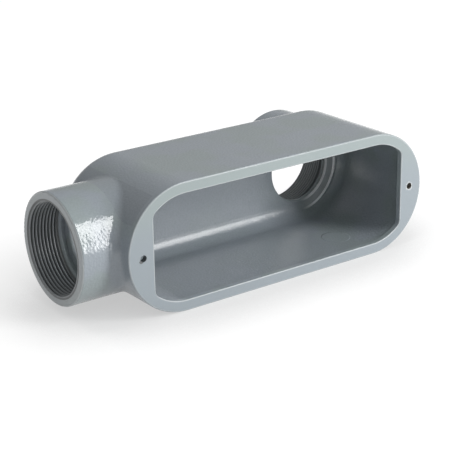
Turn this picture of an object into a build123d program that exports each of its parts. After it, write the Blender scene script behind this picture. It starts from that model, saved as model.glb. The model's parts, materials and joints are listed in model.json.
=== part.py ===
"""Conduit body of the LB pattern: one hollow casting with a threaded hub on one end and another on its back.

Millimetres. X runs along the box, with the end hub towards -X. Y runs into its depth: the open cover face looks
towards -Y and the back hub towards +Y. Z is up, and the box lies on its long flat side at Z = 0. The casting is
built round the middle of its cover face and moved at the end, so that the origin is under the middle of the whole.
"""
from build123d import *
import os

# Hubs, both tapped for the same size of pipe: the thread's wall is its root, and a smooth bore and a throat follow
thread_root_radius = 29.74
thread_length = 20.0
mouth_chamfer = 0.4
smooth_bore_step = 1.74
smooth_bore_length = 4.5
throat_step = 5.0
throat_shoulder_radius = 1.2
throat_length = 4.5
throat_lip_radius = 1.4
hub_wall = 4.76
hub_rim_radius = 1.2

# Box: two flat sides joined by half-round ends, as wide and as deep as the hubs need
half_length = 113.0
hub_from_side = 5.5
hub_from_face = 10.7
hub_from_back = 5.3
back_hub_from_end = 41.5
wall = 5.5
back_wall = 11.0
back_edge_radius = 14.0
face_edge_radius = 0.8
end_hub_blend_radius = 5.5
back_hub_blend_radius = 3.0
chamber_back_radius = 10.0
chamber_front_radius = 1.2

# Cover face: a rim along the sides and a web across each end, tapped for a cover screw
rim_width = 7.0
rim_depth = 3.6
web_width = 17.5
opening_corner_radius = 5.5
opening_edge_radius = 0.5
screw_from_end = 10.0
screw_hole_radius = 2.1

# Sizes that follow
smooth_bore_radius = thread_root_radius - smooth_bore_step
throat_radius = smooth_bore_radius - throat_step
hub_radius = thread_root_radius + hub_wall
bore_depth = thread_length + smooth_bore_length
end_hub_length = bore_depth + throat_length - wall
back_hub_length = bore_depth + throat_length - back_wall
half_width = hub_radius + hub_from_side
depth = hub_from_face + 2 * hub_radius + hub_from_back
chamber_floor = depth - back_wall
opening_half_length = half_length - web_width

# Places that follow
end_mouth = Vector(-(half_length + end_hub_length), hub_from_face + hub_radius, 0)
back_mouth = Vector(half_length - back_hub_from_end, depth + back_hub_length, 0)
into_end_hub = Vector(1, 0, 0)
into_back_hub = Vector(0, -1, 0)
small = 0.01


def outline(inset):
    """The cover face's outline, made smaller all round."""
    return SlotCenterToCenter(2 * (half_length - half_width), 2 * (half_width - inset))


def slab(flat, front, back):
    """A flat outline as a solid from one depth to another."""
    return extrude(Plane.XZ.offset(-back) * flat, back - front)


def edges_at_depth(shape, y):
    """The edges that lie wholly at one depth."""
    return shape.edges().filter_by_position(Axis.Y, y - small, y + small)


def rounded_box():
    """The box as a solid block, with its back edge rounded."""
    block = slab(outline(0), 0, depth)
    return fillet(edges_at_depth(block, depth), back_edge_radius)


def hub(mouth, inward, length):
    """A hub's round outside, from its mouth inwards."""
    return Plane(origin=mouth, z_dir=inward) * Cylinder(
        hub_radius, length, align=(Align.CENTER, Align.CENTER, Align.MIN)
    )


def junction(shape, mouth, inward, radius):
    """The curved edges at one distance from a hub's axis, away from its mouth."""
    found = []
    for edge in shape.edges():
        offsets = [edge @ t - mouth for t in (0, 0.25, 0.5, 0.75, 1)]
        along = [offset.dot(inward) for offset in offsets]
        off_axis = [(offset - inward * a).length for offset, a in zip(offsets, along)]
        on_hub = max(abs(distance - radius) for distance in off_axis) < small
        if on_hub and min(along) > small and edge.geom_type != GeomType.LINE:
            found.append(edge)
    return found


def opening():
    """The opening in the cover face: the rim's inner outline, cut square at each web."""
    window = Rectangle(2 * opening_half_length, 2 * half_width)
    shape = outline(rim_width) & window
    corners = shape.vertices().filter_by(lambda v: abs(abs(v.X) - opening_half_length) < small)
    return fillet(corners, opening_corner_radius)


def chamber():
    """The hollow inside, a little wider than the opening and reaching behind both webs."""
    hollow = slab(outline(wall), rim_depth, chamber_floor)
    hollow = fillet(edges_at_depth(hollow, chamber_floor), chamber_back_radius)
    return fillet(edges_at_depth(hollow, rim_depth), chamber_front_radius)


def bore(mouth, inward, reach):
    """A hub's inside: chamfered mouth, thread wall, short smooth bore, shoulder and throat."""
    profile = Polyline(
        (0, 0),
        (thread_root_radius + mouth_chamfer, 0),
        (thread_root_radius, mouth_chamfer),
        (thread_root_radius, thread_length),
        (smooth_bore_radius, thread_length + smooth_bore_step),
        (smooth_bore_radius, bore_depth),
        (throat_radius, bore_depth),
        (throat_radius, reach),
        (0, reach),
        close=True,
    )
    flat = make_face(profile)
    shoulder = flat.vertices().sort_by_distance((throat_radius, bore_depth))[0]
    flat = fillet(shoulder, throat_shoulder_radius)
    turned = revolve(Plane.XZ * flat, Axis.Z)
    return Plane(origin=mouth, z_dir=inward) * turned


def conduit_body():
    """The whole casting."""
    body = rounded_box()
    body += hub(end_mouth, into_end_hub, end_hub_length + half_width)
    body += hub(back_mouth, into_back_hub, back_hub_length + back_wall)
    body = fillet(junction(body, end_mouth, into_end_hub, hub_radius), end_hub_blend_radius)
    body = fillet(junction(body, back_mouth, into_back_hub, hub_radius), back_hub_blend_radius)
    body = fillet(edges_at_depth(body, 0), face_edge_radius)
    for mouth in (end_mouth, back_mouth):
        rim = [e for e in body.edges().filter_by(GeomType.CIRCLE) if (e.arc_center - mouth).length < small]
        body = fillet(rim, hub_rim_radius)

    body -= chamber()
    body -= slab(opening(), 0, rim_depth)
    inner_reach = half_width - rim_width + small
    inner_edges = [edge for edge in edges_at_depth(body, 0) if abs((edge @ 0.5).Z) < inner_reach]
    inner_edges = [edge for edge in inner_edges if abs((edge @ 0.5).X) < opening_half_length + small]
    body = fillet(inner_edges, opening_edge_radius)
    for side in (-1, 1):
        hole = Pos(side * (half_length - screw_from_end), 0) * Circle(screw_hole_radius)
        body -= slab(hole, 0, rim_depth)

    for mouth, inward, reach in (
        (end_mouth, into_end_hub, end_hub_length + half_width),
        (back_mouth, into_back_hub, back_hub_length + back_wall + wall),
    ):
        body -= bore(mouth, inward, reach)
        throat_edges = junction(body, mouth, inward, throat_radius)
        lip = [edge for edge in throat_edges if (edge @ 0 - mouth).dot(inward) > bore_depth + small]
        body = fillet(lip, throat_lip_radius)
    return body


casting = conduit_body()
middle = Vector((end_mouth.X + half_length) / 2, back_mouth.Y / 2, -half_width)
casting = Pos(-middle.X, -middle.Y, -middle.Z) * casting

os.makedirs("parts", exist_ok=True)
export_step(casting, "parts/conduit_body.step")
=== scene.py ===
"""Looks of a cast conduit body: gray enamel, ground cover face, tapped hubs, on a white studio floor."""
import bmesh
import bpy
import json
from math import tau
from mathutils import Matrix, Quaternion, Vector


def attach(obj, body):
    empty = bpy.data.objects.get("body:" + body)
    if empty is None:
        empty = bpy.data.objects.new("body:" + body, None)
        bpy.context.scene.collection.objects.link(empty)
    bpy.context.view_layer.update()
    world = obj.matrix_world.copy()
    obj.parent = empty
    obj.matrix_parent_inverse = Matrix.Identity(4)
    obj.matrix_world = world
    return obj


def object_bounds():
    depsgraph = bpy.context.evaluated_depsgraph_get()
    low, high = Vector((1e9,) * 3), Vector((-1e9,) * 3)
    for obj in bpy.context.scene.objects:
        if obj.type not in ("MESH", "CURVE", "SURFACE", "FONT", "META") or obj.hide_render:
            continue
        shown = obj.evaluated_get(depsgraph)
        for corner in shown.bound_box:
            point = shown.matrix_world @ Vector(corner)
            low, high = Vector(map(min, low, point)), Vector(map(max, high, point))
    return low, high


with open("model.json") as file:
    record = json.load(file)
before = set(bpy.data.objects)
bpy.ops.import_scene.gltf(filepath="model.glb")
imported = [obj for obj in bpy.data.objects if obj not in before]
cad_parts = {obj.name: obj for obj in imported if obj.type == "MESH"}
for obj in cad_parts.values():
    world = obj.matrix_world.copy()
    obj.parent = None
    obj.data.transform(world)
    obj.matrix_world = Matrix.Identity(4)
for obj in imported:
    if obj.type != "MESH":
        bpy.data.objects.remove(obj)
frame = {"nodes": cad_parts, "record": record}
cad_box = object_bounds()
scene = bpy.context.scene
scene.view_settings.view_transform = "Standard"


# Camera
# The photograph was taken from in front and to the left, about 20 degrees above the cover face's middle,
# with a long lens that leaves little perspective.
camera_place = Vector((-0.4784, -0.6617, 0.3262))
camera_aim = Vector((0.5524, 0.7581, -0.3466))
camera_roll = -0.0158
camera_lens = 109.45
sensor_width = 36.0
nearest_seen = 0.01
furthest_seen = 50.0
camera_data = bpy.data.cameras.new("camera")
camera_data.lens = camera_lens
camera_data.sensor_width = sensor_width
camera_data.clip_start = nearest_seen
camera_data.clip_end = furthest_seen
camera = bpy.data.objects.new("camera", camera_data)
camera.location = camera_place
camera.rotation_mode = "QUATERNION"
camera.rotation_quaternion = camera_aim.to_track_quat("-Z", "Y") @ Quaternion((0, 0, 1), camera_roll)
scene.collection.objects.link(camera)
scene.camera = camera


# Studio
# A white floor that runs to a white backdrop. A tall softbox stands in front and to the right, with a low,
# wide panel behind it, and weak even light comes from the other sides. The floor keeps a pale, soft shadow.
lamp_aim = Vector((0, 0, cad_box[1].z / 2))
softbox_direction = Vector((0.53, -0.86, 0.5))
softbox_distance = 1.1
softbox_width = 0.34
softbox_height = 1.05
softbox_power = 11.0
panel_direction = Vector((0.47, -0.87, 0.12))
panel_distance = 1.4
panel_width = 1.4
panel_height = 0.32
panel_power = 3.3
light_from_above = 0.445
light_from_left = 0.35
light_from_right = 0.46
light_from_front = 0.05
light_from_behind = 0.22
above_narrowing = 0.7
left_narrowing = 5.0
side_narrowing = 2.0
backdrop_mirrored = 0.2
backdrop_top = 0.25
floor_size = 30.0
floor_bounce = 0.88
floor_paleness = 0.33
floor_glow = 0.83
contact_shadow_reach = 0.12
contact_shadow_samples = 8
deepest_shadow = 0.62
shadow_softening = 0.1


def new_material(name):
    """A material, and its empty node tree."""
    made = bpy.data.materials.new(name)
    made.use_nodes = True
    made.node_tree.nodes.clear()
    return made, made.node_tree


def add_node(tree, kind, inputs=None, **settings):
    """A node of one kind, with its settings, and with its inputs set to values or linked to other sockets."""
    node = tree.nodes.new("ShaderNode" + kind)
    for name, value in settings.items():
        setattr(node, name, value)
    for name, value in (inputs or {}).items():
        if isinstance(value, bpy.types.NodeSocket):
            tree.links.new(value, node.inputs[name])
        else:
            node.inputs[name].default_value = value
    return node


def calculate(tree, operation, first, second=0.0, third=0.0):
    """The result of one arithmetic step on values or sockets."""
    return add_node(tree, "Math", {0: first, 1: second, 2: third}, operation=operation).outputs[0]


def calculate_vector(tree, operation, first, second=(0, 0, 0)):
    """The result of one step on vectors: a number from a length or a dot product, otherwise a vector."""
    node = add_node(tree, "VectorMath", {0: first, 1: second}, operation=operation)
    return node.outputs["Value" if operation in ("DOT_PRODUCT", "LENGTH") else "Vector"]


def seen_directly(tree, mirrored):
    """1 where the camera looks itself or through glass, a given share in a mirror, 0 for plain light."""
    path = add_node(tree, "LightPath").outputs
    in_mirror = calculate(tree, "MULTIPLY", path["Is Glossy Ray"], mirrored)
    straight = calculate(tree, "MAXIMUM", path["Is Camera Ray"], path["Is Transmission Ray"])
    return calculate(tree, "MAXIMUM", straight, in_mirror)


# The even light of the other sides. The camera sees white there, and a mirror a little of it low down.
sky = bpy.data.worlds.new("sky")
scene.world = sky
sky.use_nodes = True
tree = sky.node_tree
tree.nodes.clear()
outwards = add_node(tree, "TexCoord").outputs["Generated"]
upwards = add_node(tree, "SeparateXYZ", {0: outwards}).outputs["Z"]
level = 0.0
for direction, narrowing, light in (
    ((0, 0, 1), above_narrowing, light_from_above),
    ((-0.5, -0.5, 0.7), left_narrowing, light_from_left),
    ((1, 0, 0), side_narrowing, light_from_right),
    ((0, -1, 0), side_narrowing, light_from_front),
    ((0, 1, 0), side_narrowing, light_from_behind),
):
    along = calculate_vector(tree, "DOT_PRODUCT", outwards, direction)
    facing = calculate(tree, "MAXIMUM", along, 0.0)
    narrowed = calculate(tree, "POWER", facing, narrowing)
    level = calculate(tree, "MULTIPLY_ADD", narrowed, light, level)
low = add_node(tree, "MapRange", {"Value": upwards, "From Min": backdrop_top, "From Max": 0.0})
mirrored = calculate(tree, "MULTIPLY", low.outputs["Result"], backdrop_mirrored)
seen = seen_directly(tree, mirrored)
strength = add_node(tree, "MapRange", {"Value": seen, "To Min": level, "To Max": 1.0})
white = add_node(tree, "Background", {"Color": (1, 1, 1, 1), "Strength": strength.outputs["Result"]})
add_node(tree, "OutputWorld", {"Surface": white.outputs[0]})

# The floor looks white, but darker close to the casting and in its shadow, and it lights the casting too.
floor_material, tree = new_material("white_floor")
seen = seen_directly(tree, 1.0)
paleness = add_node(tree, "MapRange", {"Value": seen, "To Min": floor_bounce, "To Max": floor_paleness})
matt = add_node(tree, "BsdfDiffuse", {"Color": paleness.outputs["Result"]})
nearby = {"Distance": contact_shadow_reach}
openness = add_node(tree, "AmbientOcclusion", nearby, samples=contact_shadow_samples).outputs["AO"]
openness = calculate(tree, "SMOOTH_MAX", openness, deepest_shadow, shadow_softening)
glow_strength = calculate(tree, "MULTIPLY", calculate(tree, "MULTIPLY", seen, floor_glow), openness)
glow = add_node(tree, "Emission", {"Color": (1, 1, 1, 1), "Strength": glow_strength})
both = add_node(tree, "AddShader", {0: matt.outputs[0], 1: glow.outputs[0]})
add_node(tree, "OutputMaterial", {"Surface": both.outputs[0]})

floor_mesh = bpy.data.meshes.new("floor")
bm = bmesh.new()
bmesh.ops.create_grid(bm, x_segments=1, y_segments=1, size=floor_size / 2)
bm.to_mesh(floor_mesh)
bm.free()
floor_mesh.materials.append(floor_material)
floor = bpy.data.objects.new("floor", floor_mesh)
scene.collection.objects.link(floor)

for name, direction, distance, width, height, power in (
    ("softbox", softbox_direction, softbox_distance, softbox_width, softbox_height, softbox_power),
    ("low_panel", panel_direction, panel_distance, panel_width, panel_height, panel_power),
):
    lamp_data = bpy.data.lights.new(name, "AREA")
    lamp_data.shape = "RECTANGLE"
    lamp_data.size = width
    lamp_data.size_y = height
    lamp_data.energy = power
    lamp = bpy.data.objects.new(name, lamp_data)
    lamp.location = lamp_aim + direction.normalized() * distance
    lamp.rotation_mode = "QUATERNION"
    lamp.rotation_quaternion = (-direction).to_track_quat("-Z", "Y")
    scene.collection.objects.link(lamp)


# Casting
# The box, its two hubs and the end webs are one casting, dipped in glossy gray enamel. The sand mould leaves
# fine lumps under the paint. The cover face is ground flat, its edges rubbed bare and lightened further as
# painted highlights, and the hubs tapped. The chamber's inside is darkened as painted shade.
casting = frame["nodes"]["conduit_body"]
mounts = {mount["name"]: mount for mount in frame["record"]["mounts"]}
mm = 0.001
enamel_color = (0.276, 0.31, 0.342, 1)
green_enamel_color = (0.265, 0.307, 0.314, 1)
face_color = (0.258, 0.294, 0.32, 1)
green_face_color = (0.262, 0.306, 0.308, 1)
# Bare metal, also used as painted light on the face's edges, the hub rims and corners and the faced ring.
bare_metal_and_painted_light_color = (0.42, 0.45, 0.46, 1)
# Near white, for the thin rings of painted highlight round the back throat.
painted_glint_color = (0.9, 0.92, 0.93, 1)
rust_color = (0.11, 0.075, 0.04, 1)
root_color = (0.11, 0.117, 0.12, 1)
# The back hub's tap is lighter, partly from paint and partly as painted light for the light from behind it.
back_root_color_with_painted_light = (0.24, 0.252, 0.26, 1)
black = (0, 0, 0, 1)
paint_roughness = 0.14
face_roughness = 0.4
chamber_roughness = 0.26
ring_roughness = 0.15
bore_roughness = 0.6
paint_ior = 1.6

# The cover face: a rim along the sides, and a web across each end with a tapped screw hole
face_middle = Vector(mounts["cover_screws"]["pos_m"])
face_half_width = cad_box[1].z / 2
face_half_length = cad_box[1].x - face_middle.x
rim_width = 0.007
web_width = 0.0175
opening_corner_blend = 0.005
straight_half_length = face_half_length - face_half_width
opening_half_width = face_half_width - rim_width
opening_half_length = face_half_length - web_width
into_screw_holes = -Vector(mounts["cover_screws"]["axis"])
to_screw = Vector((mounts["cover_screws"]["dims"]["spacing_x_mm"] * mm / 2, 0, 0))
left_screw = face_middle - to_screw
right_screw = face_middle + to_screw
screw_hole_radius = mounts["cover_screws"]["dims"]["hole_r_mm"] * mm
screw_hole_inset = 0.00005
screw_hole_fade = 0.00015
screw_hole_middle = 0.0024
screw_hole_reach = 0.00235

# The hubs, from their mouths inwards, and the chamber between them
into_end_hub = -Vector(mounts["end_hub"]["axis"])
into_back_hub = -Vector(mounts["back_hub"]["axis"])
end_hub_mouth = Vector(mounts["end_hub"]["pos_m"])
end_hub_mouth.x = cad_box[0].x
back_hub_mouth = Vector(mounts["back_hub"]["pos_m"])
back_hub_mouth.y = cad_box[1].y
wall_radius = mounts["end_hub"]["dims"]["r_mm"] * mm
hub_wall = 0.00476
hub_radius = wall_radius + hub_wall
tapped_radius = 0.0298
tapped_fade = 0.0002
tapped_depth = 0.0203
tapped_depth_fade = 0.0008
bore_end = 0.0265
bore_end_fade = 0.001
chamber_front = -0.048
chamber_back = 0.0226
chamber_half_length = 0.1079
chamber_half_height = 0.0347

# The skin that the mould and the paint leave: its lumps, waves and paint runs, and its blotches and grain
lump_size = 0.0014
lump_detail = 0.5
wave_size = 0.016
wave_detail = 1.0
wave_share = 3.0
run_length = 0.2
run_detail = 0.0
run_share = 0.6
noise_axis = (1, 2, 3)
noise_turn = 0.7
skin_height = 0.0001
skin_left_on_face = 0.1
blotch_scale = 35.0
blotch_detail = 2.0
blotch_level = 0.6
blotch_fade = 0.2
grain_scale = 900.0
grain_detail = 2.0
grain_level = 0.65
grain_fade = 0.25
paint_grain = 0.05

# Where the paint is bluer or greener, where the chamber is darkened as painted shade, and where the paint is
# worn through, its edges lightened partly as painted highlights
chamber_painted_shade = 0.09
chamber_blueness = 0.7
blue_until_x = 0.04
blue_fade = 0.06
green_face_from_z = 0.074
green_face_fade = 0.029
face_finish_depth = 0.00005
face_finish_fade = 0.00025
edge_line_depth = 0.0003
edge_line_depth_fade = 0.0005
outer_edge_wear_and_highlight = 0.35
outer_line_width = 0.0008
inner_edge_wear_and_highlight = 0.75
inner_line_width = 0.0005
line_fade = 0.0004
hub_rim_wear_and_light = 0.55
rim_mark_depth = 0.0002
rim_mark_fade = 0.0005
hub_corner_wear_and_highlight = 1.0
corner_line_width = 0.0006
corner_line_fade = 0.0005
corner_line_depth = 0.0005
left_chip = left_screw + Vector((-0.00185, 0, -0.0018))
chip_radius = 0.0026
chip_fade = 0.0003
halo_radius = 0.0042
halo_fade = 0.0004
raggedness = 0.003

# The faced ring round the back throat, which shows on its right, the painted highlights on the edges round
# the throat, and the mould's round mark in the lower wall
faced_radius = 0.0298
faced_edge_fade = 0.0004
faced_step_width = 0.001
faced_step_height = 0.0005
faced_nearest = 0.0272
faced_nearest_fade = 0.001
faced_furthest = 0.0304
faced_furthest_fade = 0.0006
faced_from_x = 0.1
faced_from_fade = 0.016
throat_edge_radius = 0.0238
glint_half_width = 0.0007
cast_mark = Vector((0.0761, -0.0242, 0.0055))
cast_mark_radius = 0.009
cast_mark_fade = 0.0008
cast_mark_height = 0.00028


def new_group(name, inputs, outputs):
    """A shader node group, the sockets that bring in its inputs, and the sockets for its outputs."""
    group = bpy.data.node_groups.new(name, "ShaderNodeTree")
    for socket, kind, value in inputs:
        made = group.interface.new_socket(socket, in_out="INPUT", socket_type="NodeSocket" + kind)
        made.default_value = value
    for socket, kind in outputs:
        group.interface.new_socket(socket, in_out="OUTPUT", socket_type="NodeSocket" + kind)
    return group, group.nodes.new("NodeGroupInput").outputs, group.nodes.new("NodeGroupOutput").inputs


def use_group(tree, group, inputs):
    """The outputs of a node group that is placed in a material with its own values."""
    return add_node(tree, "Group", inputs, node_tree=group).outputs


def noise(tree, place, scale, detail):
    """A smooth random pattern round the value of a half."""
    return add_node(tree, "TexNoise", {"Vector": place, "Scale": scale, "Detail": detail}).outputs[0]


# How far a point is from the axis of a hub, hole or mark, and how deep behind its mouth
round_place, given, found = new_group(
    "round_place",
    [("Mouth", "Vector", (0, 0, 0)), ("Inward", "Vector", (1, 0, 0))],
    [("Radius", "Float"), ("Depth", "Float")],
)
place = add_node(round_place, "TexCoord").outputs["Object"]
offset = calculate_vector(round_place, "SUBTRACT", place, given["Mouth"])
depth = calculate_vector(round_place, "DOT_PRODUCT", offset, given["Inward"])
along = calculate_vector(round_place, "MULTIPLY", given["Inward"], depth)
across = calculate_vector(round_place, "SUBTRACT", offset, along)
radius = calculate_vector(round_place, "LENGTH", across)
round_place.links.new(radius, found["Radius"])
round_place.links.new(depth, found["Depth"])

# The lumps that a sand mould leaves, softened by the paint over them, and the runs in which the paint drained
skin_sizes = {"Lump size": lump_size, "Wave size": wave_size, "Run length": run_length}
cast_skin, given, found = new_group(
    "cast_skin",
    [(name, "Float", size) for name, size in skin_sizes.items()],
    [("Height", "Float")],
)
place = add_node(cast_skin, "TexCoord").outputs["Object"]
turn = {"Vector": place, "Axis": noise_axis, "Angle": noise_turn}
turned = add_node(cast_skin, "VectorRotate", turn).outputs[0]
drained = add_node(cast_skin, "CombineXYZ", {0: 1.0, 1: 1.0, 2: given["Run length"]}).outputs[0]
stretched = calculate_vector(cast_skin, "MULTIPLY", place, drained)
lump_scale = calculate(cast_skin, "DIVIDE", 1.0, given["Lump size"])
wave_scale = calculate(cast_skin, "DIVIDE", 1.0, given["Wave size"])
lumps = noise(cast_skin, turned, lump_scale, lump_detail)
waves = noise(cast_skin, turned, wave_scale, wave_detail)
runs = noise(cast_skin, stretched, lump_scale, run_detail)
height = calculate(cast_skin, "MULTIPLY_ADD", waves, wave_share, lumps)
height = calculate(cast_skin, "MULTIPLY_ADD", runs, run_share, height)
cast_skin.links.new(height, found["Height"])


def around(tree, mouth, inward):
    """How far a point is from the axis of one hub, hole or mark, and how deep behind its mouth."""
    return use_group(tree, round_place, {"Mouth": mouth, "Inward": inward})


def mask_between(tree, value, zero_at, one_at):
    """0 where a value is at the first bound or before it, 1 at the second or past it, and smooth between."""
    bounds = {"Value": value, "From Min": zero_at, "From Max": one_at}
    return add_node(tree, "MapRange", bounds, interpolation_type="SMOOTHSTEP").outputs["Result"]


def below(tree, value, limit, fade):
    """1 where a value is at a limit or under it, fading to 0 over it."""
    return mask_between(tree, value, limit + fade, limit)


def above(tree, value, limit, fade):
    """1 where a value is at a limit or over it, fading to 0 under it."""
    return mask_between(tree, value, limit - fade, limit)


def near(tree, value, middle, reach):
    """1 where a value lies no further than a reach from a middle value, and 0 elsewhere."""
    return calculate(tree, "COMPARE", value, middle, reach)


def overlap(tree, *masks):
    """Where all of the masks hold. A plain number among them weakens the result."""
    result = masks[0]
    for mask in masks[1:]:
        result = calculate(tree, "MULTIPLY", result, mask)
    return result


def either(tree, first, second):
    """Where one mask or the other holds."""
    return calculate(tree, "MAXIMUM", first, second)


# A Mix node has sockets of the same name for each kind of value, so they are given by number.
def mix_colors(tree, mask, first, second):
    """The first color where the mask is 0, and the second where it is 1."""
    return add_node(tree, "Mix", {0: mask, 6: first, 7: second}, data_type="RGBA").outputs[2]


def mix_values(tree, mask, first, second):
    """The first number where the mask is 0, and the second where it is 1."""
    return add_node(tree, "Mix", {0: mask, 2: first, 3: second}, data_type="FLOAT").outputs[0]


def mix_vectors(tree, mask, first, second):
    """The first vector where the mask is 0, and the second where it is 1."""
    return add_node(tree, "Mix", {0: mask, 4: first, 5: second}, data_type="VECTOR").outputs[1]


enamel, tree = new_material("gray_enamel_finish")
place = add_node(tree, "TexCoord").outputs["Object"]
axes = add_node(tree, "SeparateXYZ", {0: place}).outputs
blotches = noise(tree, place, blotch_scale, blotch_detail)
ragged = noise(tree, place, grain_scale, grain_detail)

# The cover face, and the wear and painted highlights on the outer edge of its rim and round the opening
on_face = below(tree, axes["Y"], face_middle.y + face_finish_depth, face_finish_fade)
by_face = below(tree, axes["Y"], face_middle.y + edge_line_depth, edge_line_depth_fade)
from_middle = calculate(tree, "ABSOLUTE", calculate(tree, "SUBTRACT", axes["X"], face_middle.x))
up = calculate(tree, "SUBTRACT", axes["Z"], face_middle.z)
past_straight = calculate(tree, "SUBTRACT", from_middle, straight_half_length)
past_straight = calculate(tree, "MAXIMUM", past_straight, 0.0)
round_end = add_node(tree, "CombineXYZ", {0: past_straight, 1: up}).outputs[0]
from_spine = calculate_vector(tree, "LENGTH", round_end)
past_rim = calculate(tree, "SUBTRACT", from_spine, opening_half_width)
past_web = calculate(tree, "SUBTRACT", from_middle, opening_half_length)
past_opening = calculate(tree, "SMOOTH_MAX", past_rim, past_web, opening_corner_blend)
# The thin light lines along the rim's outer edge and round the opening are partly rubbed bare, partly painted
# highlights.
outer_line = above(tree, from_spine, face_half_width - outer_line_width, line_fade)
outer_line = overlap(tree, outer_line, outer_edge_wear_and_highlight)
inner_line = below(tree, past_opening, inner_line_width, line_fade)
inner_line = overlap(tree, inner_line, inner_edge_wear_and_highlight)
worn_and_painted_highlights = overlap(tree, either(tree, outer_line, inner_line), by_face)

# The taps and bores of the hubs, and the wear and painted highlights on their rims and corners
end_hub = around(tree, end_hub_mouth, into_end_hub)
back_hub = around(tree, back_hub_mouth, into_back_hub)
taps = []
in_bore = 0.0
for hub in (end_hub, back_hub):
    inside = below(tree, hub["Radius"], tapped_radius, tapped_fade)
    taps.append(overlap(tree, inside, below(tree, hub["Depth"], tapped_depth, tapped_depth_fade)))
    bore = overlap(tree, inside, below(tree, hub["Depth"], bore_end, bore_end_fade))
    in_bore = either(tree, in_bore, bore)
    # The lighter rims and outer corners of the hub mouths are partly worn paint, partly painted highlights.
    on_rim = below(tree, hub["Depth"], rim_mark_depth, rim_mark_fade)
    on_corner = above(tree, hub["Radius"], hub_radius - corner_line_width, corner_line_fade)
    on_corner = overlap(tree, on_corner, below(tree, hub["Depth"], corner_line_depth, line_fade))
    hub_wear_and_highlights = either(tree, overlap(tree, on_rim, hub_rim_wear_and_light), overlap(tree, on_corner, hub_corner_wear_and_highlight))
    worn_and_painted_highlights = either(tree, worn_and_painted_highlights, hub_wear_and_highlights)

# The chamber, and the faced ring and the painted glints on the edges round the throat in its back
chamber_middle = (face_middle.x, (chamber_front + chamber_back) / 2, face_middle.z)
chamber_reach = (chamber_half_length, (chamber_back - chamber_front) / 2, chamber_half_height)
in_chamber = 1.0
for axis, middle, reach in zip("XYZ", chamber_middle, chamber_reach):
    in_chamber = overlap(tree, in_chamber, near(tree, axes[axis], middle, reach))
by_throat = overlap(
    tree,
    above(tree, back_hub["Depth"], faced_nearest, faced_nearest_fade),
    below(tree, back_hub["Depth"], faced_furthest, faced_furthest_fade),
    above(tree, axes["X"], faced_from_x, faced_from_fade),
)
faced = below(tree, back_hub["Radius"], faced_radius - faced_edge_fade, faced_edge_fade)
faced = overlap(tree, faced, by_throat)
throat_edge = near(tree, back_hub["Radius"], throat_edge_radius, glint_half_width)
ring_edge = near(tree, back_hub["Radius"], faced_radius, glint_half_width)
painted_glints = overlap(tree, either(tree, throat_edge, ring_edge), by_throat)

# The paint's color, greener in blotches but bluer in the chamber's left, and darkened in the chamber as
# painted shade. Then what is worn, machined or bare, in part lightened as painted light, and painted glints.
bluer = overlap(tree, in_chamber, below(tree, axes["X"], blue_until_x, blue_fade))
greener = calculate(tree, "MULTIPLY_ADD", bluer, -chamber_blueness, 1.0)
greener = overlap(tree, above(tree, blotches, blotch_level, blotch_fade), greener)
painted = mix_colors(tree, greener, enamel_color, green_enamel_color)
grain = overlap(tree, above(tree, ragged, grain_level, grain_fade), paint_grain)
# The chamber's inside is darkened a little as painted shade, on top of the random grain.
shade = calculate(tree, "MULTIPLY_ADD", in_chamber, chamber_painted_shade, grain)
painted = mix_colors(tree, shade, painted, black)
upper_side = above(tree, axes["Z"], green_face_from_z, green_face_fade)
face_paint = mix_colors(tree, upper_side, face_color, green_face_color)
colors = mix_colors(tree, on_face, painted, face_paint)
# The faced ring is lighter, partly as machined metal and partly as painted light standing in for the light on
# its flat land.
colors = mix_colors(tree, faced, colors, bare_metal_and_painted_light_color)
colors = mix_colors(tree, worn_and_painted_highlights, colors, bare_metal_and_painted_light_color)
# Thin rings of painted highlight on the throat's edge and on the faced ring's edge.
colors = mix_colors(tree, painted_glints, colors, painted_glint_color)

# Bright metal round the right screw hole, a dark chip beside the left one, and what lies in both holes
uneven = calculate(tree, "MULTIPLY", ragged, raggedness)
halo = calculate(tree, "ADD", around(tree, right_screw, into_screw_holes)["Radius"], uneven)
halo = overlap(tree, below(tree, halo, halo_radius, halo_fade), by_face)
chip = calculate(tree, "ADD", around(tree, left_chip, into_screw_holes)["Radius"], uneven)
chip = overlap(tree, below(tree, chip, chip_radius, chip_fade), by_face)
colors = mix_colors(tree, halo, colors, bare_metal_and_painted_light_color)
colors = mix_colors(tree, chip, colors, root_color)
for screw, hole_color in ((left_screw, root_color), (right_screw, rust_color)):
    hole = around(tree, screw, into_screw_holes)
    in_hole = below(tree, hole["Radius"], screw_hole_radius - screw_hole_inset, screw_hole_fade)
    in_hole = overlap(tree, in_hole, near(tree, hole["Depth"], screw_hole_middle, screw_hole_reach))
    colors = mix_colors(tree, in_hole, colors, hole_color)
for tap, tap_color in zip(taps, (root_color, back_root_color_with_painted_light)):
    colors = mix_colors(tree, tap, colors, tap_color)

roughness = mix_values(tree, on_face, paint_roughness, face_roughness)
roughness = mix_values(tree, in_chamber, roughness, chamber_roughness)
roughness = mix_values(tree, painted_glints, roughness, ring_roughness)
roughness = mix_values(tree, in_bore, roughness, bore_roughness)

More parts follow.
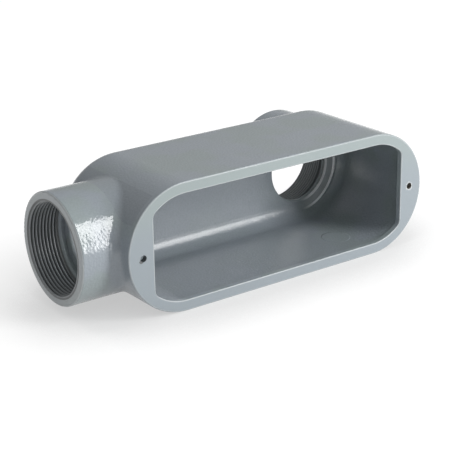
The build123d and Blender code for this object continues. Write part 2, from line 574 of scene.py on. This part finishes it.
# The cast skin, nearly gone on the ground face, then the mould's mark and the flat faced ring with its step
skin = use_group(tree, cast_skin, skin_sizes)
left_on = mix_values(tree, on_face, 1.0, skin_left_on_face)
bump = add_node(tree, "Bump", {"Strength": left_on, "Distance": skin_height, "Height": skin["Height"]})
mark = around(tree, cast_mark, (0, 0, 1))
raised = overlap(tree, below(tree, mark["Radius"], cast_mark_radius, cast_mark_fade), in_chamber)
bump = add_node(tree, "Bump", {"Distance": cast_mark_height, "Height": raised, "Normal": bump.outputs[0]})
flattened = mix_vectors(tree, faced, bump.outputs[0], into_back_hub)
step = above(tree, back_hub["Radius"], faced_radius + faced_step_width / 2, faced_step_width)
step = overlap(tree, step, by_throat)
bump = add_node(tree, "Bump", {"Distance": faced_step_height, "Height": step, "Normal": flattened})

surface = {"Base Color": colors, "Roughness": roughness, "IOR": paint_ior, "Normal": bump.outputs[0]}
shader = add_node(tree, "BsdfPrincipled", surface)
add_node(tree, "OutputMaterial", {"Surface": shader.outputs[0]})
casting.material_slots[0].material = enamel


# Threads in the hubs
# Each hub is tapped with a right-handed taper pipe thread, about nine turns of 2.2 mm pitch. The end hub's
# roots are dark, partly with oil and partly as painted shade, and the back hub's thread is lighter, partly
# from paint and partly as painted light. The turns run out in front of the smooth bore.
thread_pitch = 0.0022087
thread_turns = 9.3
thread_start = -0.0011
thread_steps = 96
crest_radius = 0.0283
crest_half_width = 0.0002
flank_slope = 0.577
taper = 1 / 32
buried = 0.0003
run_out_turns = 1.2
least_height = 0.02
mouth_cut = 0.00008
crest_color = (0.25, 0.268, 0.278, 1)
# The back hub's crests are lighter, partly from paint and partly as painted light for the light from behind
# it.
back_crest_color_with_painted_light = (0.42, 0.44, 0.45, 1)
crest_paint_height = 0.0003
crest_paint_fade = 0.0006
thread_roughness = 0.35


def thread(name, mouth, inward, finish):
    """One hub's thread: a ridge's section turned round the hub's axis and drawn along it, then tapered."""
    sideways = Vector((0, 0, 1)).cross(inward)
    base_half_width = crest_half_width + (wall_radius + buried - crest_radius) * flank_slope
    section = (
        (-base_half_width, wall_radius + buried),
        (-crest_half_width, crest_radius),
        (crest_half_width, crest_radius),
        (base_half_width, wall_radius + buried),
    )
    bm = bmesh.new()
    start = mouth + inward * thread_start
    corners = [bm.verts.new(start + inward * along + sideways * out) for along, out in section]
    first = bm.faces.new(corners)
    bmesh.ops.spin(
        bm,
        geom=[first, *first.edges, *first.verts],
        cent=mouth,
        axis=inward,
        dvec=inward * (thread_pitch / thread_steps),
        angle=tau * thread_turns,
        steps=round(thread_steps * thread_turns),
        use_merge=False,
        use_duplicate=False,
    )
    for vert in bm.verts:
        depth = (vert.co - mouth).dot(inward)
        axis_point = mouth + inward * depth
        spoke = vert.co - axis_point
        height = wall_radius - spoke.length
        if height > 0:
            turn = (depth - thread_start) / thread_pitch
            fade = min(1, (thread_turns - turn) / run_out_turns)
            height = height * max(least_height, fade) + (depth - thread_start) * taper
            vert.co = axis_point + spoke.normalized() * (wall_radius - height)
    everything = [*bm.verts, *bm.edges, *bm.faces]
    cut_place = mouth + inward * mouth_cut
    bmesh.ops.bisect_plane(bm, geom=everything, plane_co=cut_place, plane_no=inward, clear_inner=True)
    bmesh.ops.holes_fill(bm, edges=[edge for edge in bm.edges if edge.is_boundary])
    bmesh.ops.recalc_face_normals(bm, faces=bm.faces)
    mesh = bpy.data.meshes.new(name)
    bm.to_mesh(mesh)
    bm.free()
    mesh.materials.append(finish)
    made = bpy.data.objects.new(name, mesh)
    scene.collection.objects.link(made)
    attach(made, "root")


for name, mouth, inward, root, crest in (
    ("end_hub_thread", end_hub_mouth, into_end_hub, root_color, crest_color),
    ("back_hub_thread", back_hub_mouth, into_back_hub, back_root_color_with_painted_light, back_crest_color_with_painted_light),
):
    finish, tree = new_material(name + "_finish")
    hub = around(tree, mouth, inward)
    narrowing = calculate(tree, "MULTIPLY_ADD", hub["Depth"], taper, hub["Radius"])
    # Crests lighter and roots darker: partly the oil and paint on them, partly painted shade in the grooves.
    on_crest = below(tree, narrowing, crest_radius + crest_paint_height, crest_paint_fade)
    colors = mix_colors(tree, on_crest, root, crest)
    shader = add_node(tree, "BsdfPrincipled", {"Base Color": colors, "Roughness": thread_roughness})
    add_node(tree, "OutputMaterial", {"Surface": shader.outputs[0]})
    thread(name, mouth, inward, finish)
